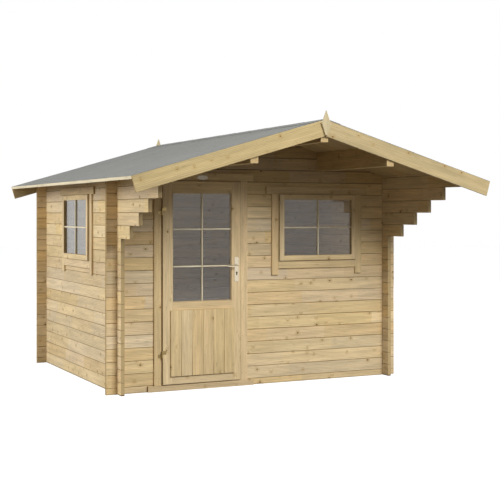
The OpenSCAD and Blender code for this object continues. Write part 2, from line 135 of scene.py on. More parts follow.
# Places that follow from the sizes
DOWN = np.array([math.cos(PITCH), 0.0, -math.sin(PITCH)])
OUT = np.array([math.sin(PITCH), 0.0, math.cos(PITCH)])
ROOF_END = (FRONT_OVERHANG + WALL_D + BACK_OVERHANG) / 2
BOARDING_END = ROOF_END - BARGE_T - FIT
RIDGE = COURSES * LOG_H + TOP_LOG_RISE + WALL_W / 2 * math.tan(PITCH) + DECK_T / math.cos(PITCH)
EAVE_RUN = (WALL_W / 2 + EAVE_REACH) / math.cos(PITCH)
WALL_FRONT = FRONT_OVERHANG - ROOF_END
WALL_BACK = WALL_FRONT + WALL_D
WALL_LEFT = -WALL_W / 2
WALL_MIDDLE = (WALL_FRONT + WALL_BACK) / 2
DOOR_X = DOOR_FROM_LEFT - WALL_W / 2
DOOR_HALF = LEAF_W / 2 + LEAF_GAP
DOOR_HEAD = LEAF_HEAD + LEAF_GAP
LEAF_FACE = WALL_FRONT - LEAF_PROUD
LEAF_MIDDLE = LEAF_FACE + LEAF_T / 2
LEAF_BACK = LEAF_FACE + LEAF_T
GLASS_HALF = LEAF_W / 2 - STILE_W
GLASS_HEAD = LEAF_HEAD - TOP_RAIL
PANEL_FOOT = LEAF_FOOT + BOTTOM_RAIL
PANEL_HEAD = GLASS_FOOT - MID_RAIL
LEVER = np.array([DOOR_X + LEAF_W / 2 - LEVER_BACKSET, LEAF_MIDDLE, LEVER_Z])
WINDOW_X = WALL_W / 2 - WINDOW_FROM_RIGHT
WINDOW_HALF = WINDOW_W / 2
WINDOW_HEAD = (COURSES - 0.5) * LOG_H - WINDOW_DROP
WINDOW_FOOT = WINDOW_HEAD - WINDOW_H
SASH_IN = SASH_GAP + SASH_W
FLOOR_EDGE = LOG_T + FLOOR_GAP


# Meshes

def linear(code):
    """Turns an sRGB hex colour into linear RGBA."""
    srgb = np.array([int(code[i:i + 2], 16) for i in (1, 3, 5)]) / 255
    rgb = np.where(srgb <= 0.04045, srgb / 12.92, ((srgb + 0.055) / 1.055) ** 2.4)
    return (*rgb.tolist(), 1.0)


def piece(name, points, faces, material, body="cabin", smooth=None, replaces=(), fields=None):
    """Puts points and faces into a mesh at the origin and lets it ride on its body."""
    mesh = bpy.data.meshes.new(name)
    mesh.from_pydata(np.asarray(points).reshape(-1, 3).tolist(), [], faces)
    for key, values in (fields or {}).items():
        values = np.asarray(values, np.float32)
        kind, entry = ("FLOAT", "value") if values.ndim == 1 else ("FLOAT_VECTOR", "vector")
        mesh.attributes.new(key, kind, "POINT").data.foreach_set(entry, values.ravel())
    if smooth is not None:
        mesh.polygons.foreach_set("use_smooth", np.asarray(smooth, bool))
    mesh.materials.append(material)
    shell = bmesh.new()
    shell.from_mesh(mesh)
    bmesh.ops.recalc_face_normals(shell, faces=shell.faces)
    shell.to_mesh(mesh)
    shell.free()
    mesh.update()
    made = bpy.data.objects.new(name, mesh)
    bpy.context.scene.collection.objects.link(made)
    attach(made, body)
    if replaces:
        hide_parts(*replaces)
    return made


def tube_faces(rings, around, start=0):
    """Quads between rings of points that each close on themselves, and one face over each end."""
    i, j = np.meshgrid(np.arange(rings - 1), np.arange(around), indexing="ij")
    k = (j + 1) % around
    quads = np.stack([i * around + j, i * around + k, (i + 1) * around + k, (i + 1) * around + j], -1)
    ends = [np.arange(around)[::-1], (rings - 1) * around + np.arange(around)]
    return [(start + q).tolist() for q in quads.reshape(-1, 4)] + [(start + e).tolist() for e in ends]


def join_shells(name, shells, smooth, material, body, replaces):
    """Joins shells of four rings each into one piece, with the fields that the timber materials read.
    A shell is (points, places in the wood, tone, cut end), each with a value for all of its points."""
    faces = []
    start = 0
    for points, *_ in shells:
        faces += tube_faces(4, len(points) // 4, start)
        start += len(points)
    points, grain, tone, end = [np.concatenate(values) for values in zip(*shells)]
    fields = {"grain": grain, "tone": tone, "end": end}
    return piece(name, points, faces, material, body, smooth, replaces, fields)


def rounded_section(width, thick, radius, steps=3):
    """Rectangle with rounded corners: four quarter circles about the corners moved in by the radius."""
    turn = np.linspace(0, np.pi / 2, steps)
    corner = np.array([[1, 1], [-1, 1], [-1, -1], [1, -1]])
    angle = turn[None, :] + np.arange(4)[:, None] * np.pi / 2
    middle = corner * (np.array([width, thick]) / 2 - radius)
    return (middle[:, None, :] + radius * np.stack([np.cos(angle), np.sin(angle)], -1)).reshape(-1, 2)


def boards(name, rows, material, body="cabin", replaces=(), ease=0.002):
    """Planed boards as one piece. A board is a rounded section, width by thickness, carried along its
    length. The first and last rings shrink by the easing, so the ends are rounded as the long edges are.
    A row is (middle of the start, length direction, width direction, length, width, thickness, slant),
    where the slant moves the start along the length by a share of the place across the width."""
    shells = []
    smooth = []
    for start, along, across, length, width, thick, slant in rows:
        through = np.cross(along, across)
        section = rounded_section(width, thick, ease)
        inner = rounded_section(width - 1.2 * ease, thick - 1.2 * ease, 0.4 * ease)
        rings = np.stack([inner, section, section, inner])
        place = np.array([0, 0.7 * ease, length - 0.7 * ease, length])
        run = place[:, None] + rings[..., 0] * slant * np.array([1, 1, 0, 0])[:, None]
        spot = start + run[..., None] * along + rings[..., :1] * across + rings[..., 1:] * through
        shift = rng.uniform(-40, 40, 2)
        grain = np.stack([run + shift[0], rings[..., 0] + shift[1], rings[..., 1]], -1)
        around = len(section)
        tone = np.full(4 * around, rng.uniform())
        end = np.repeat([1.0, 0, 0, 1.0], around)
        shells.append((spot.reshape(-1, 3), grain.reshape(-1, 3), tone, end))
        flat = np.arange(around) % 3 == 2
        smooth += (~np.tile(flat, 3)).tolist() + [False, False]
    return join_shells(name, shells, smooth, material, body, replaces)


def plates(name, rows, material, body="cabin", replaces=(), ease=0.001):
    """Flat shapes with eased edges as one piece. An outline is carried through its thickness, and the
    rings at both faces move in from each corner along the bisector by the easing.
    A row is (outline, place of its origin, across, up, thickness), the thickness along across x up."""
    shells = []
    for outline, origin, across, up, thick in rows:
        outline = np.asarray(outline, float)
        edge = np.roll(outline, -1, 0) - outline
        normal = np.stack([edge[:, 1], -edge[:, 0]], -1) / np.linalg.norm(edge, axis=1)[:, None]
        before = np.roll(normal, 1, 0)
        bisect = (normal + before) / (1 + (normal * before).sum(1))[:, None]
        inner = outline - bisect * ease
        depth = np.array([0, ease, thick - ease, thick])
        rings = np.stack([inner, outline, outline, inner])
        through = np.cross(across, up)
        spot = origin + rings[..., :1] * across + rings[..., 1:] * up + depth[:, None, None] * through
        around = len(outline)
        place = np.stack([rings[..., 1], rings[..., 0], np.repeat(depth[:, None], around, 1)], -1)
        grain = place.reshape(-1, 3) + rng.uniform(-40, 40)
        tone = np.full(4 * around, rng.uniform())
        shells.append((spot.reshape(-1, 3), grain, tone, np.zeros(4 * around)))
    return join_shells(name, shells, None, material, body, replaces)


def round_bars(name, rows, material, body, replaces):
    """Round bars as one piece: an ellipse carried along a level path, its two radii given at each station.
    A row is (path points, half widths in the path's plane, half heights along Z)."""
    around = 20
    turn = np.linspace(0, 2 * np.pi, around, endpoint=False)[None, :, None]
    points = []
    faces = []
    for path, wide, tall in rows:
        ahead = np.gradient(path, axis=0)
        side = np.cross(Z, ahead / np.linalg.norm(ahead, axis=1)[:, None])
        ring = path[:, None] + np.cos(turn) * (wide[:, None, None] * side[:, None])
        ring = ring + np.sin(turn) * tall[:, None, None] * Z
        faces += tube_faces(len(path), around, sum(len(p) for p in points))
        points.append(ring.reshape(-1, 3))
    return piece(name, np.concatenate(points), faces, material, body, [True] * len(faces), replaces)


def nail_heads(name, spots, out, material, body="cabin", radius=0.003):
    """Domed heads: three rings of eight points that shrink as they rise along the outward direction."""
    side = np.cross(out, Z)
    up = np.cross(side, out)
    turn = np.linspace(0, 2 * np.pi, 8, endpoint=False)[None, :, None]
    size = np.array([1.0, 0.85, 0.4])[:, None, None] * radius
    rise = np.array([-0.3, 0.3, 0.45])[:, None, None] * radius
    ring = size * (np.cos(turn) * side + np.sin(turn) * up) + rise * out
    points = np.asarray(spots)[:, None, :] + ring.reshape(1, -1, 3)
    faces = []
    for i in range(len(spots)):
        faces += tube_faces(3, 8, 24 * i)
    return piece(name, points, faces, material, body, [True] * len(faces))


def box_board(low, high, along, across):
    """Row for a board that fills a box, with its grain along one axis and its width along another."""
    low, high = np.array(low), np.array(high)
    size = high - low
    start = (low + high) / 2 - along * (size @ along) / 2
    return start, along, across, size @ along, size @ across, size @ np.abs(np.cross(along, across)), 0.0


# Materials

# Early and late wood of pale spruce and of spruce darkened by painted shade, and the year rings of cut
# boards and log ends
PALE = ("#e7cfa0", "#c4a068")
PAINTED_SHADE_BROWN = ("#c3a872", "#9a7a44")
CUT_BOARD = ("#bda16c", "#957a49")
CUT_SIDE_LOG = ("#cdb68a", "#ab9060")
CUT_FRONT_LOG = ("#b69a67", "#917648")
# Half widths of the stripe of dirt and painted shade along a joint of the walls and of the gables
GROOVE = 0.004
# The gables' stripe is wider for the deeper painted shade under the roof
GABLE_GROOVE = 0.008
KNOT_CELL = 0.115
# A wave texture of scale 1 repeats after this length
WAVE = 0.314


def node(tree, kind, inputs=None, **settings):
    """Adds a node, sets it up, and gives each input a value, or a link from a socket or from the first
    output in use of another node."""
    made = tree.nodes.new(kind)
    for key, value in settings.items():
        setattr(made, key, value)
    for key, value in (inputs or {}).items():
        if isinstance(value, bpy.types.Node):
            value = next(socket for socket in value.outputs if socket.enabled)
        if isinstance(value, bpy.types.NodeSocket):
            tree.links.new(value, made.inputs[key])
        else:
            made.inputs[key].default_value = value
    return made


def new_material(name):
    """New material with its node tree and its principled surface."""
    material = bpy.data.materials.new(name)
    material.use_nodes = True
    tree = material.node_tree
    surface = next(n for n in tree.nodes if n.type == "BSDF_PRINCIPLED")
    return material, tree, surface


def streaks(tree, place, per_metre, detail):
    """Noise drawn out into streaks, with a number of them to the metre along length, width and depth."""
    drawn = node(tree, "ShaderNodeVectorMath", {0: place, 1: per_metre}, operation="MULTIPLY")
    return node(tree, "ShaderNodeTexNoise", {"Vector": drawn, "Scale": 1.0, "Detail": detail})


def knots(tree, place, share):
    """Knots of 2 to 8.5 mm in radius, mostly small: one place in each cell, in a share of the cells.
    Gives how far a point is in a knot, and how far it is in the 24 mm halo round one."""
    oval = node(tree, "ShaderNodeVectorMath", {0: place, 1: (0.75, 1, 1)}, operation="MULTIPLY")
    cell = node(tree, "ShaderNodeTexVoronoi", {"Vector": oval, "Scale": 1 / KNOT_CELL},
                voronoi_dimensions="2D")
    chance = node(tree, "ShaderNodeSeparateColor", {0: cell.outputs["Color"]})
    picked = node(tree, "ShaderNodeMath", {0: chance.outputs[0], 1: share}, operation="LESS_THAN")
    rare = node(tree, "ShaderNodeMath", {0: chance.outputs[1], 1: 2.5}, operation="POWER")
    radius = node(tree, "ShaderNodeMapRange", {"Value": rare, "To Min": 0.002, "To Max": 0.0085})
    radius = node(tree, "ShaderNodeMath", {0: radius, 1: picked}, operation="MULTIPLY")
    reach = node(tree, "ShaderNodeMath", {0: cell.outputs["Distance"], 1: KNOT_CELL}, operation="MULTIPLY")
    inside = node(tree, "ShaderNodeMath", {0: radius, 1: reach}, operation="SUBTRACT")
    knot = node(tree, "ShaderNodeMapRange", {"Value": inside, "From Min": -0.001, "From Max": 0.002})
    halo = node(tree, "ShaderNodeMapRange", {"Value": inside, "From Min": -0.024, "From Max": 0.0},
                interpolation_type="SMOOTHSTEP")
    return knot, node(tree, "ShaderNodeMath", {0: halo, 1: picked}, operation="MULTIPLY")


def late_wood(tree, place, halo):
    """Bands of late wood across the width, about 13 mm apart, drawn out along the length and pushed aside
    by 22 mm at a knot."""
    push = node(tree, "ShaderNodeCombineXYZ", {"Y": halo})
    bent = node(tree, "ShaderNodeVectorMath", {0: push, 1: (0, 0.022, 0), 2: place},
                operation="MULTIPLY_ADD")
    drawn = node(tree, "ShaderNodeVectorMath", {0: bent, 1: (0.07, 1, 0.4)}, operation="MULTIPLY")
    band = node(tree, "ShaderNodeTexWave", {"Vector": drawn, "Scale": WAVE / 0.013, "Distortion": 5.5,
                "Detail": 2.5, "Detail Scale": 0.9, "Detail Roughness": 0.55}, bands_direction="Y")
    return band.outputs["Fac"]


def own_tone(tree, place, seed, fibre, jointed):
    """Hue, saturation and value of each log or board, with slow changes along it and paler fibres.
    Jointed timber is glued up from lengths of 620 mm, each a little paler or pinker than the next."""
    own = node(tree, "ShaderNodeTexWhiteNoise", {"W": seed}, noise_dimensions="1D")
    own = node(tree, "ShaderNodeSeparateColor", {0: own.outputs["Color"]})
    hue = node(tree, "ShaderNodeMapRange", {"Value": own.outputs[0], "To Min": 0.496, "To Max": 0.503})
    full = node(tree, "ShaderNodeMapRange", {"Value": own.outputs[1], "To Min": 0.9, "To Max": 1.04})
    light = node(tree, "ShaderNodeMapRange", {"Value": own.outputs[2], "To Min": 0.9, "To Max": 1.06})
    cloud = streaks(tree, place, (2.6, 26, 26), 2.0)
    drift = node(tree, "ShaderNodeMapRange", {"Value": cloud, "From Min": 0.3, "From Max": 0.7,
                 "To Min": 0.82, "To Max": 1.08})
    grey = node(tree, "ShaderNodeMapRange", {"Value": fibre, "From Min": 0.3, "From Max": 0.7,
                "To Min": 0.89, "To Max": 1.07})
    light = node(tree, "ShaderNodeMath", {0: light, 1: drift}, operation="MULTIPLY")
    light = node(tree, "ShaderNodeMath", {0: light, 1: grey}, operation="MULTIPLY")
    if jointed:
        length = node(tree, "ShaderNodeVectorMath", {0: place, 1: (1 / 0.62, 0, 0)}, operation="MULTIPLY")
        length = node(tree, "ShaderNodeVectorMath", {0: length}, operation="FLOOR")
        apart = node(tree, "ShaderNodeTexWhiteNoise", {"Vector": length, "W": seed}, noise_dimensions="4D")
        apart = node(tree, "ShaderNodeSeparateColor", {0: apart.outputs["Color"]})
        pink = node(tree, "ShaderNodeMapRange", {"Value": apart.outputs[0], "To Min": 0.88,
                    "To Max": 1.06})
        pale = node(tree, "ShaderNodeMapRange", {"Value": apart.outputs[1], "To Min": 0.96,
                    "To Max": 1.05})
        full = node(tree, "ShaderNodeMath", {0: full, 1: pink}, operation="MULTIPLY")
        light = node(tree, "ShaderNodeMath", {0: light, 1: pale}, operation="MULTIPLY")
    return hue, full, light


def year_rings(tree, grain, cut):
    """Cut end of a log: year rings 6 mm apart about a heart outside the section."""
    core = node(tree, "ShaderNodeVectorMath", {0: grain, 1: (0, 1, 1)}, operation="MULTIPLY")
    core = node(tree, "ShaderNodeVectorMath", {0: core, 1: (0, 0.03, 0.05)})
    ring = node(tree, "ShaderNodeTexWave", {"Vector": core, "Scale": WAVE / 0.006, "Distortion": 1.5},
                wave_type="RINGS", rings_direction="X")
    return node(tree, "ShaderNodeMix", {0: ring.outputs["Fac"], 6: linear(cut[0]), 7: linear(cut[1])},
                data_type="RGBA")


def timber(tree, surface, grain, seed, end, tint, cut=CUT_BOARD, dirt_and_painted_shade=None, knot_share=0.3, relief=0.15,
           jointed=False):
    """Planed spruce at a place in its log, (length, width, depth) in metres, with a seed for each log.
    Late wood bends round the knots, fibres of 2.4 mm run along the length, and each log keeps a tone of
    its own. Knots have an amber halo and a dark heart, and cut ends show year rings."""
    place = node(tree, "ShaderNodeVectorMath", {0: seed, 1: (31.7, 17.3, 5.9), 2: grain},
                 operation="MULTIPLY_ADD")
    knot, halo = knots(tree, place, knot_share)
    band = late_wood(tree, place, halo)
    fibre = streaks(tree, place, (9, 420, 420), 3.0)
    # Drying checks: thin dark dashes along the grain, up to 90 mm by 5 mm, where drawn-out noise peaks
    crack = streaks(tree, place, (11, 190, 190), 1.0)
    crack = node(tree, "ShaderNodeMapRange", {"Value": crack, "From Min": 0.67, "From Max": 0.75,
                 "To Min": 0.0, "To Max": 0.42})
    late = node(tree, "ShaderNodeMath", {0: band, 1: 1.7}, operation="POWER")
    late = node(tree, "ShaderNodeMath", {0: late, 1: 0.56}, operation="MULTIPLY")
    wood = node(tree, "ShaderNodeMix", {0: late, 6: linear(tint[0]), 7: linear(tint[1])}, data_type="RGBA")
    hue, full, light = own_tone(tree, place, seed, fibre, jointed)
    wood = node(tree, "ShaderNodeHueSaturation", {"Hue": hue, "Saturation": full, "Value": light,
                "Color": wood})
    amber = node(tree, "ShaderNodeMath", {0: halo, 1: 0.38}, operation="MULTIPLY")
    wood = node(tree, "ShaderNodeMix", {0: amber, 6: wood, 7: linear("#ab8a50")}, data_type="RGBA")
    heart = node(tree, "ShaderNodeMath", {0: knot, 1: 0.9}, operation="MULTIPLY")
    heart = node(tree, "ShaderNodeMath", {0: heart, 1: crack}, operation="MAXIMUM")
    wood = node(tree, "ShaderNodeMix", {0: heart, 6: wood, 7: linear("#64451f")}, data_type="RGBA")
    sawn = year_rings(tree, grain, cut)
    wood = node(tree, "ShaderNodeMix", {0: end, 6: wood, 7: sawn}, data_type="RGBA")
    # Dirt and painted shade of joints, feet, corners and frame gaps darken the wood towards dark brown
    if dirt_and_painted_shade is not None:
        wood = node(tree, "ShaderNodeMix", {0: dirt_and_painted_shade, 6: wood, 7: linear("#573d1c")}, data_type="RGBA")
    tree.links.new(wood.outputs[2], surface.inputs["Base Color"])
    rough = node(tree, "ShaderNodeMapRange", {"Value": fibre, "To Min": 0.52, "To Max": 0.72})
    tree.links.new(rough.outputs[0], surface.inputs["Roughness"])
    height = node(tree, "ShaderNodeMath", {0: band, 1: 0.35, 2: fibre}, operation="MULTIPLY_ADD")
    bump = node(tree, "ShaderNodeBump", {"Strength": relief, "Distance": 0.0002, "Height": height})
    tree.links.new(bump.outputs[0], surface.inputs["Normal"])


def wall_dirt_and_painted_shade(tree, part, course, along_y, groove):
    """Dirt and painted shade of a wall: dirt and painted shade in the joints, a painted contact shadow at
    the foot and painted shade in the corners, whichever is strongest.
    """
    along = 1 if along_y else 0
    # Distance from the nearest joint, in courses: the stripe of dirt and painted shade in the V groove
    # ends at the groove's half width from it
    near = node(tree, "ShaderNodeMath", {0: course, 1: 0.5}, operation="PINGPONG")
    joints = node(tree, "ShaderNodeMapRange", {"Value": near, "From Min": 0.0, "From Max": groove / LOG_H,
                  "To Min": 0.84, "To Max": 0.0})
    # Painted contact shadow: the foot of a wall log is darkened for 14 mm above the ground
    foot = node(tree, "ShaderNodeMapRange", {"Value": part.outputs[2], "From Min": 0.006,
                "From Max": 0.014, "To Min": 0.85 if along_y else 0.3, "To Max": 0.0})
    dirt_and_painted_shade = node(tree, "ShaderNodeMath", {0: joints, 1: foot}, operation="MAXIMUM")
    # Painted shade also darkens 7 mm along the upright line where the crossing wall passes through
    middle, half = (WALL_MIDDLE, WALL_D / 2 - LOG_T) if along_y else (0.0, WALL_W / 2 - LOG_T)
    off = node(tree, "ShaderNodeMath", {0: part.outputs[along], 1: middle}, operation="SUBTRACT")
    off = node(tree, "ShaderNodeMath", {0: off}, operation="ABSOLUTE")
    off = node(tree, "ShaderNodeMath", {0: off, 1: half}, operation="SUBTRACT")
    off = node(tree, "ShaderNodeMath", {0: off}, operation="ABSOLUTE")
    nook = node(tree, "ShaderNodeMapRange", {"Value": off, "From Max": 0.007, "To Min": 0.65,
                "To Max": 0.0})
    return node(tree, "ShaderNodeMath", {0: dirt_and_painted_shade, 1: nook}, operation="MAXIMUM")


def log_spruce(name, along_y, joint, shift, tint=PALE, groove=GROOVE):
    """Spruce wall logs, planed: pale early wood, tan late wood, brown knots, dirt and painted shade in the
    V joints, and painted shade at the foot and in the corners.
    The course number, counted from the height of a joint, gives each log its seed. Beams have no joint."""
    material, tree, surface = new_material(name)
    place = node(tree, "ShaderNodeTexCoord")
    part = node(tree, "ShaderNodeSeparateXYZ", {0: place.outputs["Object"]})
    facing = node(tree, "ShaderNodeSeparateXYZ", {0: place.outputs["Normal"]})
    along, through = (1, 0) if along_y else (0, 1)
    grain = node(tree, "ShaderNodeCombineXYZ", {0: part.outputs[along], 1: part.outputs[2],
                 2: part.outputs[through]})
    number, dirt_and_painted_shade = 0.0, None
    if joint is not None:
        course = node(tree, "ShaderNodeMath", {0: part.outputs[2], 1: joint}, operation="SUBTRACT")
        course = node(tree, "ShaderNodeMath", {0: course, 1: LOG_H}, operation="DIVIDE")
        number = node(tree, "ShaderNodeMath", {0: course, 1: 1.0}, operation="SNAP")
        dirt_and_painted_shade = wall_dirt_and_painted_shade(tree, part, course, along_y, groove)
    seed = node(tree, "ShaderNodeMath", {0: number, 1: shift}, operation="ADD")
    end = node(tree, "ShaderNodeMath", {0: facing.outputs[along]}, operation="ABSOLUTE")
    end = node(tree, "ShaderNodeMath", {0: end, 1: 0.9}, operation="GREATER_THAN")
    timber(tree, surface, grain, seed, end, tint, CUT_SIDE_LOG if along_y else CUT_FRONT_LOG, dirt_and_painted_shade,
           knot_share=0.58, relief=0.35, jointed=joint is not None)
    return material


def joinery_spruce(name, sideways, middle, clear, edge=None):
    """Planed, sanded spruce of a frame: grain runs up the stiles and along the rails between them.
    With an edge (half width, foot, head), the outermost 6 mm are darkened with painted shade of the gap
    round the frame."""
    material, tree, surface = new_material(name)
    place = node(tree, "ShaderNodeTexCoord")
    part = node(tree, "ShaderNodeSeparateXYZ", {0: place.outputs["Object"]})
    facing = node(tree, "ShaderNodeSeparateXYZ", {0: place.outputs["Normal"]})
    wide, high, deep = (1, 2, 0) if sideways else (0, 2, 1)
    upright = node(tree, "ShaderNodeCombineXYZ", {0: part.outputs[high], 1: part.outputs[wide],
                   2: part.outputs[deep]})
    level = node(tree, "ShaderNodeCombineXYZ", {0: part.outputs[wide], 1: part.outputs[high],
                 2: part.outputs[deep]})
    off = node(tree, "ShaderNodeMath", {0: part.outputs[wide], 1: middle}, operation="SUBTRACT")
    far = node(tree, "ShaderNodeMath", {0: off}, operation="ABSOLUTE")
    stile = node(tree, "ShaderNodeMath", {0: far, 1: clear}, operation="GREATER_THAN")
    grain = node(tree, "ShaderNodeMix", {0: stile, 4: level, 5: upright}, data_type="VECTOR")
    # Each stile and each rail has a seed of its own: left or right, or the nearest multiple of 550 mm
    right = node(tree, "ShaderNodeMath", {0: off, 1: 0.0}, operation="GREATER_THAN")
    storey = node(tree, "ShaderNodeMath", {0: part.outputs[high], 1: 0.55}, operation="DIVIDE")
    storey = node(tree, "ShaderNodeMath", {0: storey}, operation="ROUND")
    member = node(tree, "ShaderNodeMix", {0: stile, 2: storey, 3: right})
    seed = node(tree, "ShaderNodeMath", {0: stile, 1: 9.3, 2: member}, operation="MULTIPLY_ADD")
    across = node(tree, "ShaderNodeMix", {0: stile, 2: facing.outputs[wide], 3: facing.outputs[high]})
    end = node(tree, "ShaderNodeMath", {0: across}, operation="ABSOLUTE")
    end = node(tree, "ShaderNodeMath", {0: end, 1: 0.9}, operation="GREATER_THAN")
    dirt_and_painted_shade = None
    # Painted shade: a dark rim on the outermost 6 mm, where the gap round the frame lies in shade
    if edge is not None:
        half, foot, head = edge
        rise = node(tree, "ShaderNodeMath", {0: part.outputs[high], 1: (foot + head) / 2},
                    operation="SUBTRACT")
        rise = node(tree, "ShaderNodeMath", {0: rise}, operation="ABSOLUTE")
        rise = node(tree, "ShaderNodeMath", {0: rise, 1: half - (head - foot) / 2}, operation="ADD")
        rim = node(tree, "ShaderNodeMath", {0: rise, 1: far}, operation="MAXIMUM")
        dirt_and_painted_shade = node(tree, "ShaderNodeMapRange", {"Value": rim, "From Min": half - 0.006,
                    "From Max": half - 0.003, "To Min": 0.0, "To Max": 0.34})
    timber(tree, surface, grain, seed, end, PALE, dirt_and_painted_shade=dirt_and_painted_shade)
    return material


def board_spruce(name, tint=PALE, knot_share=0.3):
    """Planed spruce boards whose grain follows the board: length, width and depth come from the mesh."""
    material, tree, surface = new_material(name)
    grain = node(tree, "ShaderNodeAttribute", attribute_name="grain").outputs["Vector"]
    tone = node(tree, "ShaderNodeAttribute", attribute_name="tone").outputs["Fac"]
    end = node(tree, "ShaderNodeAttribute", attribute_name="end").outputs["Fac"]
    timber(tree, surface, grain, tone, end, tint, knot_share=knot_share, relief=0.25)
    return material


def mineral_felt(name):
    """Bitumen roofing felt with a slate-grey mineral face: 2 mm grit, matt, with slow tonal patches.
    Grit is below a pixel here, so a second layer of 14 mm clumps shows it from afar."""
    material, tree, surface = new_material(name)
    place = node(tree, "ShaderNodeTexCoord").outputs["Object"]
    grit = node(tree, "ShaderNodeTexNoise", {"Vector": place, "Scale": 1 / 0.002, "Detail": 2.0})
    clump = node(tree, "ShaderNodeTexNoise", {"Vector": place, "Scale": 1 / 0.014, "Detail": 3.0})
    patch = node(tree, "ShaderNodeTexNoise", {"Vector": place, "Scale": 1 / 0.45, "Detail": 3.0})
    mixed = node(tree, "ShaderNodeMath", {0: grit, 1: 0.6, 2: clump}, operation="MULTIPLY_ADD")
    tone = node(tree, "ShaderNodeMapRange", {"Value": mixed, "From Min": 0.55, "From Max": 1.05})
    face = node(tree, "ShaderNodeMix", {0: tone, 6: linear("#686967"), 7: linear("#949590")},
                data_type="RGBA")
    worn = node(tree, "ShaderNodeMapRange", {"Value": patch, "From Min": 0.35, "From Max": 0.7,
                "To Min": 0.0, "To Max": 0.35})
    face = node(tree, "ShaderNodeMix", {0: worn, 6: face, 7: linear("#8d8e8a")}, data_type="RGBA")
    tree.links.new(face.outputs[2], surface.inputs["Base Color"])
    surface.inputs["Roughness"].default_value = 0.9
    bump = node(tree, "ShaderNodeBump", {"Strength": 0.5, "Distance": 0.001, "Height": mixed})
    tree.links.new(bump.outputs[0], surface.inputs["Normal"])
    return material


def float_glass(name):
    """Clear float glass, 4 mm: a faint warm-grey body, polished faces with the slightest ripple.
    A clear coat on its faces adds a soft sheen of the sky."""
    material, tree, surface = new_material(name)
    place = node(tree, "ShaderNodeTexCoord").outputs["Object"]
    ripple = node(tree, "ShaderNodeTexNoise", {"Vector": place, "Scale": 1 / 0.25, "Detail": 1.0})
    bump = node(tree, "ShaderNodeBump", {"Strength": 0.08, "Distance": 0.002, "Height": ripple})
    tree.links.new(bump.outputs[0], surface.inputs["Normal"])
    smear = node(tree, "ShaderNodeMapRange", {"Value": ripple, "To Min": 0.0, "To Max": 0.05})
    tree.links.new(smear.outputs[0], surface.inputs["Roughness"])
    surface.inputs["Base Color"].default_value = linear("#dddad0")
    surface.inputs["Transmission Weight"].default_value = 1.0
    surface.inputs["IOR"].default_value = 1.5
    surface.inputs["Coat Weight"].default_value = 0.75
    surface.inputs["Coat Roughness"].default_value = 0.35
    surface.inputs["Coat IOR"].default_value = 1.5
    return material


def brushed_metal(name, low, high, rough, per_metre=(900, 60, 900)):
    """Metal with a fine satin brush: streaks of 1 to 3 mm vary its tone and roughness."""
    material, tree, surface = new_material(name)
    place = node(tree, "ShaderNodeTexCoord").outputs["Object"]
    brush = streaks(tree, place, per_metre, 2.0)
    face = node(tree, "ShaderNodeMix", {0: brush, 6: linear(low), 7: linear(high)}, data_type="RGBA")
    tree.links.new(face.outputs[2], surface.inputs["Base Color"])
    dull = node(tree, "ShaderNodeMapRange", {"Value": brush, "To Min": rough - 0.08,
                "To Max": rough + 0.1})
    tree.links.new(dull.outputs[0], surface.inputs["Roughness"])
    surface.inputs["Metallic"].default_value = 1.0
    return material


# Planed spruce: boarding darkened with painted shade for the roof's underside, pale trims, knotty barge
# boards, and two picked free of knots
boarding = board_spruce("spruce_boarding", ("#b79c68", "#957744"), 0.35)
trim = board_spruce("planed_spruce_trim")
barge = board_spruce("planed_spruce_barge_boards", ("#c8b384", "#ab915e"), 0.5)
# Painted light: bars and eave strips are tinted near white so they stay bright in the shade
bar_wood = board_spruce("clear_spruce_painted_light", ("#f4e8c8", "#ead8ac"), 0.0)
finial_wood = board_spruce("clear_spruce_finials", ("#d6c69c", "#c0ac7e"), 0.0)

felt = mineral_felt("mineral_roofing_felt")
glass = float_glass("clear_float_glass")

# Metals: a warm satin for lever and plates, three dark ones for small fittings, the darkest a near-black
# painted shade for the key slots, and matt yellow zinc
nickel = brushed_metal("satin_nickel", "#c6b99f", "#e6dac2", 0.42)
pewter = brushed_metal("dull_pewter", "#6f6657", "#8c8272", 0.4)
dull_brass = brushed_metal("dull_brass", "#4a4234", "#5f5645", 0.45)
keyway_painted_shade = brushed_metal("black_keyway_painted_shade", "#15130f", "#2a2620", 0.5)
zinc = brushed_metal("yellow_zinc_plated_steel", "#a08c5e", "#b5a174", 0.7, (300, 300, 300))


# Frame nodes that stay, each with the finish of its own timber, glass or metal

def finish(key, material):
    """Gives a node of the frame its one material."""
    nodes[key].data.materials.clear()
    nodes[key].data.materials.append(material)


# For each: whether the logs run along Y, the height of a joint, and the start of the seeds
log_finish = {
    "left_wall_logs": (True, 0.0, 3.0),
    "right_wall_logs": (True, 0.0, 41.0),
    "back_wall_logs": (False, LOG_H / 2, 83.0),
    "front_sill_log": (False, LOG_H / 2, 127.0),
    "front_wall_left_logs": (False, LOG_H / 2, 171.0),
    "front_wall_right_logs": (False, LOG_H / 2, 213.0),
    "floor_bearers": (True, None, 351.0),
}
# Timber under the roof takes a darker tint of painted shade; the gable logs also get wider stripes of dirt
# and painted shade
shaded_finish = {
    "front_gable_logs": (False, LOG_H / 2, 259.0),
    "back_gable_logs": (False, LOG_H / 2, 301.0),
    "ridge_purlin": (True, None, 391.0),
    "left_purlin": (True, None, 433.0),
    "right_purlin": (True, None, 477.0),
}
for key, values in log_finish.items():
    finish(key, log_spruce("spruce_" + key, *values))
for key, values in shaded_finish.items():
    finish(key, log_spruce("spruce_" + key, *values, PAINTED_SHADE_BROWN, GABLE_GROOVE))

leaf_shade_rim = (LEAF_W / 2, LEAF_FOOT, LEAF_HEAD)
sash_shade_rim = (WINDOW_HALF - SASH_GAP, WINDOW_FOOT + SASH_GAP, WINDOW_HEAD - SASH_GAP)
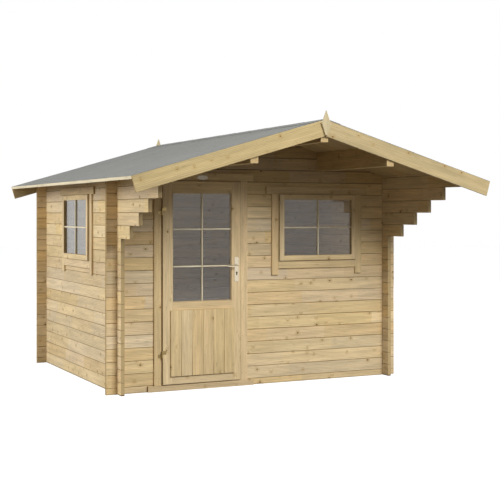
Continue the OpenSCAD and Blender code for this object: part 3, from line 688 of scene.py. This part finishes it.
# For each: whether it faces sideways, its middle, the half width that counts as rail, and its edge of
# painted gap shade
joinery_finish = {
    "door_leaf_frame": (False, DOOR_X, GLASS_HALF + HAIR, leaf_shade_rim),
    "door_frame": (False, DOOR_X, DOOR_HALF - STOP_W),
    "front_window_sash": (False, WINDOW_X, WINDOW_HALF - SASH_IN + HAIR, sash_shade_rim),
    "front_window_frame": (False, WINDOW_X, WINDOW_HALF - STOP_W),
    "left_window_sash": (True, WALL_MIDDLE, WINDOW_HALF - SASH_IN + HAIR, sash_shade_rim),
    "left_window_frame": (True, WALL_MIDDLE, WINDOW_HALF - STOP_W),
}
for key, values in joinery_finish.items():
    finish(key, joinery_spruce("spruce_" + key, *values))
for key in ("door_glass", "front_window_glass", "left_window_glass"):
    finish(key, glass)
for key in ("door_hinge_flags", "door_hinge_knuckles"):
    finish(key, zinc)


# Roof

def slope(side, run, rise, y):
    """Points of a slope, side -1 left or 1 right: run down from the ridge, rise square to the boarding's
    top, and y along the ridge."""
    spot = np.multiply.outer(run, DOWN) + np.multiply.outer(rise, OUT)
    x = side * spot[..., 0]
    return np.stack([x, np.broadcast_to(y, x.shape), RIDGE + spot[..., 2]], -1)


ROOF_BOARDS = 40
BOARD_GAP = 0.0008
RIDGE_GAP = 0.003
for side, word in ((-1, "left"), (1, "right")):
    down = DOWN * (side, 1, 1)
    up = OUT * (side, 1, 1)
    # Boarding: tongued boards 95 mm wide that run from the ridge to the eave strip
    edges = np.linspace(-BOARDING_END, BOARDING_END, ROOF_BOARDS + 1)
    length = EAVE_RUN - EAVE_TRIM_T - GAP - RIDGE_GAP
    rows = []
    for y0, y1 in zip(edges, edges[1:]):
        start = slope(side, RIDGE_GAP, -DECK_T / 2, (y0 + y1) / 2)
        rows.append((start, down, Y, length, y1 - y0 - BOARD_GAP, DECK_T, 0.0))
    boards(word + "_roof_boards", rows, boarding, replaces=[word + "_roof_deck"], ease=0.003)
    # Barge boards, cut upright where the pair meets at the ridge
    barge_y = ROOF_END - BARGE_T / 2
    for y, end_word in ((-barge_y, "front"), (barge_y, "back")):
        run = HAIR + BARGE_W / 2 * math.tan(PITCH)
        start = slope(side, run, -BARGE_W / 2, y)
        row = (start, down, up, EAVE_RUN - run, BARGE_W, BARGE_T, -math.tan(PITCH))
        boards(f"{end_word}_{word}_barge_board", [row], barge,
               replaces=[f"{end_word}_{word}_barge"])
    # Eave strip between the barge boards
    strip_end = ROOF_END - BARGE_T - GAP
    start = slope(side, EAVE_RUN - EAVE_TRIM_T / 2, -EAVE_TRIM_H / 2, -strip_end)
    row = (start, Y, up, 2 * strip_end, EAVE_TRIM_H, EAVE_TRIM_T, 0.0)
    boards(word + "_eave_strip", [row], bar_wood, replaces=[word + "_eave_trim"])

# Felt: two sheets on each slope, the upper lapped over the lower. Its top is given by the run from the
# ridge and the rise, and slow ripples of half a millimetre, a product of two sines, are added to it.
LAP = 0.93
RIPPLE = 0.0005
top_run = np.array([0.0, 0.3, 0.6, LAP - 0.002, LAP, LAP + 0.004, 1.2, 1.5, EAVE_RUN - 0.008, EAVE_RUN])
top_rise = np.array([3.6, 3.6, 3.6, 3.5, 3.2, 2.3, 2.2, 2.2, 2.2, 1.4]) / 1000
run = np.concatenate([top_run, top_run[::-1]])
stations = np.linspace(-ROOF_END, ROOF_END, 97)[:, None]
wave = RIPPLE * np.sin(stations * 9.0 + 2.2 * np.sin(top_run * 4.0)) * np.sin(stations * 2.3)
rise = np.concatenate([top_rise + wave, np.full_like(wave, FIT)], 1)
for side, word in ((-1, "left"), (1, "right")):
    spots = slope(side, run, rise, stations)
    faces = tube_faces(len(stations), len(run))
    piece(word + "_felt_sheets", spots, faces, felt, replaces=[word + "_roof_felt"])

# Ridge cap: eleven tabs folded over the ridge, each lifted over the one before it
CAP_TOP = 0.006
CAP_UNDER = 0.0045
TAB_LIFT = 0.0014
tabs = np.linspace(-ROOF_END, ROOF_END, 12)
stations = np.stack([tabs[:-1], tabs[1:] - GAP], -1).reshape(-1, 1)
lift = np.tile([TAB_LIFT, 0.0], len(tabs) - 1)[:, None]
top_run = np.array([-CAP_W, -CAP_W / 2, -0.012, 0.012, CAP_W / 2, CAP_W])
run = np.concatenate([top_run, top_run[::-1]])
rise = np.repeat([CAP_TOP, CAP_UNDER], len(top_run)) + np.repeat([1.0, 0.6], len(top_run)) * lift
spots = slope(np.sign(run), np.abs(run), rise, stations)
faces = tube_faces(len(stations), len(run))
piece("ridge_cap_tabs", spots, faces, felt, replaces=["ridge_cap"])

# Finials: spearhead boards over the mitre of the barge boards
half = np.array([[0.0, FINIAL_RISE], [FINIAL_NECK / 2, 0.0], [FINIAL_W / 2, -FINIAL_SHOULDER],
                 [FINIAL_FOOT / 2, -FINIAL_DROP]])
outline = np.concatenate([half, half[:0:-1] * (-1, 1)])[::-1]
for word, y in (("front", -ROOF_END - FIT), ("back", ROOF_END + FIT + FINIAL_T)):
    row = (outline, np.array([0.0, y, RIDGE]), X, Z, FINIAL_T)
    plates(word + "_finial_board", [row], finial_wood, replaces=[word + "_finial"],
           ease=0.002)


# Trim boards

def trim_rows(middle, half, head, foot, wall, across, under=None):
    """Rows for two side trims and a head that runs past them, in a wall whose width runs along an axis.
    With the height of a window's foot, one more board lies under it, between the side trims."""
    depth = np.abs(np.cross(Z, across)) * (wall - (TRIM_T + FIT) / 2)
    thick = TRIM_T - FIT
    rows = []
    for off in (-half - TRIM_W / 2, half + TRIM_W / 2):
        start = across * (middle + off) + depth + Z * foot
        rows.append((start, Z, across, head - foot - FIT, TRIM_W, thick, 0.0))
    reach = half + TRIM_W + TRIM_EAR
    start = across * (middle - reach) + depth + Z * (head + TRIM_W / 2)
    rows.append((start, across, Z, 2 * reach, TRIM_W, thick, 0.0))
    if under is not None:
        start = across * (middle - half + FIT) + depth + Z * (under - TRIM_W / 2)
        rows.append((start, across, Z, 2 * half - 2 * FIT, TRIM_W, thick, 0.0))
    return rows


rows = trim_rows(DOOR_X, DOOR_HALF, DOOR_HEAD, SILL_H + FIT, WALL_FRONT, X)
boards("door_trim_boards", rows, trim, replaces=["door_architrave"])
reach = DOOR_HALF + TRIM_W + TRIM_EAR
low = (DOOR_X - reach, WALL_FRONT - SILL_T, 0.0)
high = (DOOR_X + reach, WALL_FRONT - FIT, SILL_H)
sill = box_board(low, high, X, Z)
boards("door_sill_board", [sill], trim, replaces=["door_sill"], ease=0.003)
window_places = (("front", WINDOW_X, WALL_FRONT, X), ("left", WALL_MIDDLE, WALL_LEFT, Y))
for word, middle, wall, across in window_places:
    rows = trim_rows(middle, WINDOW_HALF, WINDOW_HEAD, WINDOW_FOOT - TRIM_W - TRIM_TAIL, wall, across,
                     WINDOW_FOOT)
    boards(word + "_window_trim_boards", rows, trim, replaces=[word + "_window_architrave"])

# Door panel: six upright boards with V joints, over six that fill the frame
LAYER_GAP = 0.0001
half = GLASS_HALF + PANEL_LAP
front, back = LEAF_FACE - PANEL_PROUD, LEAF_FACE - FIT
edges = np.linspace(DOOR_X - half, DOOR_X + half, 7)
rows = []
for x0, x1 in zip(edges, edges[1:]):
    low = (x0 + FIT, front, PANEL_FOOT - PANEL_LAP)
    high = (x1 - FIT, back, PANEL_HEAD + PANEL_LAP)
    rows.append(box_board(low, high, Z, X))
edges = np.linspace(DOOR_X - GLASS_HALF + FIT, DOOR_X + GLASS_HALF - FIT, 7)
for x0, x1 in zip(edges, edges[1:]):
    low = (x0, back + LAYER_GAP, PANEL_FOOT + FIT)
    high = (x1, LEAF_MIDDLE, PANEL_HEAD - FIT)
    rows.append(box_board(low, high, Z, X))
boards("door_panel_boards", rows, trim, "door", ["door_panel"], ease=0.004)

# Floor boards along X over the bearers
FLOOR_BOARDS = 24
half = WALL_W / 2 - FLOOR_EDGE
foot = BEARER_H + FIT
edges = np.linspace(WALL_FRONT + FLOOR_EDGE, WALL_BACK - FLOOR_EDGE, FLOOR_BOARDS + 1)
rows = []
for y0, y1 in zip(edges, edges[1:]):
    rows.append(box_board((-half, y0 + GAP, foot), (half, y1 - GAP, foot + FLOOR_T), X, Y))
boards("floor_boards", rows, boarding, replaces=["floor_deck"], ease=0.0015)


# Glazing bars and beads

BAR_W = 0.013
BAR_T = 0.012
LEVEL_BAR_T = 0.0115
# From the pane's middle to a bar's, and from an upright's middle to the end of a level bar
BAR_OUT = PANE_T / 2 + BAR_T / 2 + GAP
BAR_STOP = BAR_W / 2 + GAP
BEAD_W = 0.006
BEAD_T = 0.009
BEAD_OUT = PANE_T / 2 + HAIR
BEAD_ROOM = BEAD_W + 2 * FIT


def bar_rows(middle, half, low, high, level_places, pane, across):
    """Rows for glazing bars on both faces of a pane: an upright, and level bars on both sides of it."""
    other = np.abs(np.cross(Z, across))
    rows = []
    for depth in (pane - BAR_OUT, pane + BAR_OUT):
        start = across * middle + other * depth + Z * (low + FIT)
        rows.append((start, Z, across, high - low - 2 * FIT, BAR_W, BAR_T, 0.0))
        for z in level_places:
            for near, far in ((-half + FIT, -BAR_STOP), (BAR_STOP, half - FIT)):
                start = across * (middle + near) + other * depth + Z * z
                rows.append((start, across, Z, far - near, BAR_W, LEVEL_BAR_T, 0.0))
    return rows


# The door's lower bar is level with the lever
door_levels = (LEVER_Z + 0.002, GLASS_FOOT + 0.659)
reach = GLASS_HALF - BEAD_ROOM
low, high = GLASS_FOOT + BEAD_ROOM, GLASS_HEAD - BEAD_ROOM
rows = bar_rows(DOOR_X, reach, low, high, door_levels, LEAF_MIDDLE, X)
boards("door_glazing_bars", rows, bar_wood, "door", ease=0.003)
# Beads that hold the door's glass, outside and inside
rows = []
for y0 in (LEAF_MIDDLE - BEAD_OUT - BEAD_T, LEAF_MIDDLE + BEAD_OUT):
    y1 = y0 + BEAD_T
    for x in (DOOR_X - GLASS_HALF + FIT, DOOR_X + GLASS_HALF - FIT - BEAD_W):
        rows.append(box_board((x, y0, GLASS_FOOT + FIT), (x + BEAD_W, y1, GLASS_HEAD - FIT), Z, X))
    for z in (GLASS_FOOT + FIT, GLASS_HEAD - FIT - BEAD_W):
        rows.append(box_board((DOOR_X - reach, y0, z), (DOOR_X + reach, y1, z + BEAD_W), X, Z))
boards("door_glazing_beads", rows, trim, "door")
for word, middle, wall, across in window_places:
    low, high = WINDOW_FOOT + SASH_IN, WINDOW_HEAD - SASH_IN
    pane = wall - LEAF_PROUD + LEAF_T / 2
    rows = bar_rows(middle, WINDOW_HALF - SASH_IN, low, high, [(low + high) / 2], pane, across)
    boards(word + "_window_glazing_bars", rows, bar_wood, ease=0.003)

# Lever: a round neck that bends into a flattened grip, outside and inside on one spindle
BEND = 0.014
TIP = 0.004
GRIP_WIDE = 0.0058
GRIP_TALL = (0.0085, 0.0075)
reach = LEAF_T / 2 + FIT + PLATE_T + LEVER_REACH + LEVER_T / 2
turn = np.linspace(0, np.pi / 2, 9)
tip_turn = turn[1::2]
neck = np.stack([np.zeros(4), -np.linspace(0, reach - BEND, 4)], -1)
curve = np.stack([-BEND + BEND * np.cos(turn), -(reach - BEND) - BEND * np.sin(turn)], -1)[1:]
grip = np.stack([-np.linspace(BEND, LEVER_LEN - TIP, 16)[1:], np.full(15, -reach)], -1)
tip = np.stack([TIP - LEVER_LEN - TIP * np.sin(tip_turn), np.full(4, -reach)], -1)
flat = np.concatenate([neck, curve, grip, tip])
shrink = np.cos(tip_turn * 0.95)
wide = np.concatenate([np.full(4, NECK_D / 2), np.linspace(NECK_D / 2, 0.006, 8), np.full(15, GRIP_WIDE),
                       GRIP_WIDE * shrink])
tall = np.concatenate([np.full(4, NECK_D / 2), np.linspace(NECK_D / 2, GRIP_TALL[0], 8),
                       np.linspace(*GRIP_TALL, 15), GRIP_TALL[1] * shrink])
rows = [(LEVER + flat[:, :1] * X + way * flat[:, 1:] * Y, wide, tall) for way in (1, -1)]
round_bars("door_lever_bars", rows, nickel, "lever", ["door_lever"])

# Lock plates with rounded corners, a collar round the neck and a key cylinder below it
CYLINDER_R = 0.0085
STEM_R = 0.005
STEM_DROP = 0.0195
CYLINDER_DROP = 0.063
CYLINDER_T = 0.003
SCREW_OFF = 0.105
outline = rounded_section(PLATE_W, PLATE_H, 0.009, 6)
turn = np.linspace(0, 2 * np.pi, 24, endpoint=False)
collar = 0.0125 * np.stack([np.cos(turn), np.sin(turn)], -1)
# Key slot: a thin near-black plate, painted shade for the keyway
key_slot = rounded_section(0.0022, 0.009, 0.001, 2)
# Profile of the cylinder: a circle 17 mm across with a stem 10 mm wide, 33 mm tall in all
meet = math.acos(STEM_R / CYLINDER_R)
bow = np.linspace(-meet, math.pi + meet, 25)
stem = np.linspace(math.pi, 2 * math.pi, 11)
profile = np.concatenate([CYLINDER_R * np.stack([np.cos(bow), np.sin(bow)], -1),
                          STEM_R * np.stack([np.cos(stem), np.sin(stem)], -1) - (0.0, STEM_DROP)])
rows = []
slots = []
cylinders = []
screws = []
for y, way in ((LEAF_FACE - FIT, 1), (LEAF_BACK + FIT, -1)):
    across = X * way
    out = -Y * way
    middle = np.array([LEVER[0], y, LEVER_Z + PLATE_RISE - PLATE_H / 2])
    face = middle + out * PLATE_T
    hub = np.array([LEVER[0], face[1], LEVER_Z])
    key = hub - Z * CYLINDER_DROP
    rows.append((outline, middle, across, Z, PLATE_T))
    rows.append((collar, hub, across, Z, 0.005))
    cylinders.append((profile, key, across, Z, CYLINDER_T))
    slots.append((key_slot, key + out * (CYLINDER_T - HAIR), across, Z, 0.0005))
    screws.append([face + Z * SCREW_OFF, face - Z * SCREW_OFF])
plates("door_lock_plate_set", rows, nickel, "door", ["door_lock_plates"], ease=0.0008)
plates("door_lock_cylinders", cylinders, dull_brass, "door", ease=0.0005)
plates("door_key_slots", slots, keyway_painted_shade, "door", ease=0.0001)
nail_heads("lock_plate_screws_outside", screws[0], -Y, nickel, "door", 0.0035)
nail_heads("lock_plate_screws_inside", screws[1], Y, nickel, "door", 0.0035)

# Blank oval plate over the door: a rim round a flat field, with nothing on it
turn = np.linspace(0, 2 * np.pi, 48, endpoint=False)
oval = np.stack([0.055 * np.cos(turn), 0.0235 * np.sin(turn)], -1)
middle = np.array([DOOR_X + 0.007, WALL_FRONT - TRIM_T, DOOR_HEAD + 0.028])
rows = [(oval, middle, X, Z, 0.003), (oval * 0.88, middle, X, Z, 0.0036)]
plates("blank_oval_plate", rows, pewter, ease=0.0012)


# Nail heads: in pairs on the trims, and on the barge boards over the purlins and wall logs

SIDE_PAIR = 0.02
LEVEL_PAIR = (0.018, 0.052)
HEAD_REACH = 0.11


def trim_nails(middle, half, head, heights):
    """Places across and up a wall for the nails of both side trims and of the head trim."""
    places = []
    for off in (-half - TRIM_W / 2, half + TRIM_W / 2):
        for z in heights:
            places += [(middle + off - SIDE_PAIR, z), (middle + off + SIDE_PAIR, z)]
    for place in np.linspace(middle - half - HEAD_REACH, middle + half + HEAD_REACH, 5):
        places += [(place, head + rise) for rise in LEVEL_PAIR]
    return places


def barge_nails(y):
    """Places on the outer faces of one gable's barge boards."""
    rows = itertools.product((-1, 1), (0.12, 0.68, 1.03, 1.44, 1.72), (0.03, 0.10))
    return [slope(side, run, -drop, y) for side, run, drop in rows]


window_heights = np.linspace(WINDOW_FOOT - 0.08, WINDOW_HEAD - 0.04, 4)
places = trim_nails(DOOR_X, DOOR_HALF, DOOR_HEAD, np.linspace(0.12, 1.84, 6))
places += trim_nails(WINDOW_X, WINDOW_HALF, WINDOW_HEAD, window_heights)
for x in np.linspace(WINDOW_X - 0.38, WINDOW_X + 0.38, 4):
    places += [(x, WINDOW_FOOT - drop) for drop in LEVEL_PAIR]
spots = [(x, WALL_FRONT - TRIM_T, z) for x, z in places] + barge_nails(-ROOF_END)
nail_heads("front_nail_heads", spots, -Y, zinc)
nail_heads("back_nail_heads", barge_nails(ROOF_END), Y, zinc)
places = trim_nails(WALL_MIDDLE, WINDOW_HALF, WINDOW_HEAD, window_heights)
spots = [(WALL_LEFT - TRIM_T, y, z) for y, z in places]
nail_heads("left_nail_heads", spots, -X, zinc)


# Stage

def seen_rays(tree):
    """One for rays that show the stage: from the camera, from a reflection or through glass. Else zero."""
    ray = node(tree, "ShaderNodeLightPath")
    seen = node(tree, "ShaderNodeMath", {0: ray.outputs["Is Camera Ray"], 1: ray.outputs["Is Glossy Ray"]},
                operation="MAXIMUM")
    return node(tree, "ShaderNodeMath", {0: seen, 1: ray.outputs["Is Transmission Ray"]},
                operation="MAXIMUM")


# Floor: studio paper that looks white and keeps the shadow, and throws back little light
FLOOR_REACH = 40
corners = [(-FLOOR_REACH, -FLOOR_REACH, 0), (FLOOR_REACH, -FLOOR_REACH, 0), (FLOOR_REACH, FLOOR_REACH, 0),
           (-FLOOR_REACH, FLOOR_REACH, 0)]
floor_mesh = bpy.data.meshes.new("studio_floor")
floor_mesh.from_pydata(corners, [], [(0, 1, 2, 3)])
floor = bpy.data.objects.new("studio_floor", floor_mesh)
bpy.context.scene.collection.objects.link(floor)
floor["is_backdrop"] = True
paper, tree, surface = new_material("studio_paper")
floor_mesh.materials.append(paper)
seen = seen_rays(tree)
shown = node(tree, "ShaderNodeMix", {0: seen, 6: linear("#57534c"), 7: linear("#a0a0a0")},
             data_type="RGBA")
tree.links.new(shown.outputs[2], surface.inputs["Base Color"])
surface.inputs["Roughness"].default_value = 1.0
surface.inputs["Specular IOR Level"].default_value = 0.0
surface.inputs["Emission Color"].default_value = linear("#ffffff")
glow = node(tree, "ShaderNodeMath", {0: seen, 1: 0.895}, operation="MULTIPLY")
tree.links.new(glow.outputs[0], surface.inputs["Emission Strength"])

# World: white where it shows, and a dim even light elsewhere
world = bpy.data.worlds.new("studio_sky")
bpy.context.scene.world = world
world.use_nodes = True
tree = world.node_tree
tree.nodes.clear()
level = node(tree, "ShaderNodeMapRange", {"Value": seen_rays(tree), "To Min": 0.28, "To Max": 1.0})
sky = node(tree, "ShaderNodeBackground", {"Color": (1, 1, 1, 1), "Strength": level})
node(tree, "ShaderNodeOutputWorld", {"Surface": sky})

# Lamps: square panels (place, size, watts) that face the cabin's middle and don't show themselves
LAMP_AIM = np.array([0.0, 0.0, 1.1])
panels = {
    "key_panel": ((2.0, -11.2, 7.8), 5.4, 1440.0),
    "side_panel": ((-12.0, 0.5, 5.0), 6.0, 1090.0),
    "back_panel": ((9.0, 9.0, 6.0), 6.0, 1100.0),
    "room_panel": ((0.2, 0.7, 1.65), 0.7, 5.0),
}
for name, (spot, size, power) in panels.items():
    lamp = bpy.data.lights.new(name, "AREA")
    lamp.energy = power
    lamp.size = size
    panel = bpy.data.objects.new(name, lamp)
    bpy.context.scene.collection.objects.link(panel)
    panel.location = spot
    panel.visible_camera = False
    panel.visible_transmission = False
    panel.visible_glossy = False
    aim = LAMP_AIM - spot
    tilt = math.atan2(math.hypot(aim[0], aim[1]), -aim[2])
    panel.rotation_euler = (tilt, 0, math.atan2(aim[1], aim[0]) - math.pi / 2)

# Camera at eye height, level, with its picture shifted down
camera_data = bpy.data.cameras.new("camera")
camera_data.lens = 78.4
camera_data.sensor_width = 36.0
camera_data.shift_y = -0.0718
camera = bpy.data.objects.new("camera", camera_data)
bpy.context.scene.collection.objects.link(camera)
camera.location = (-4.542, -9.841, 1.5946)
camera.rotation_euler = (math.pi / 2, 0, math.radians(-25.886))
bpy.context.scene.camera = camera

bpy.context.scene.view_settings.view_transform = "Standard"

low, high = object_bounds()
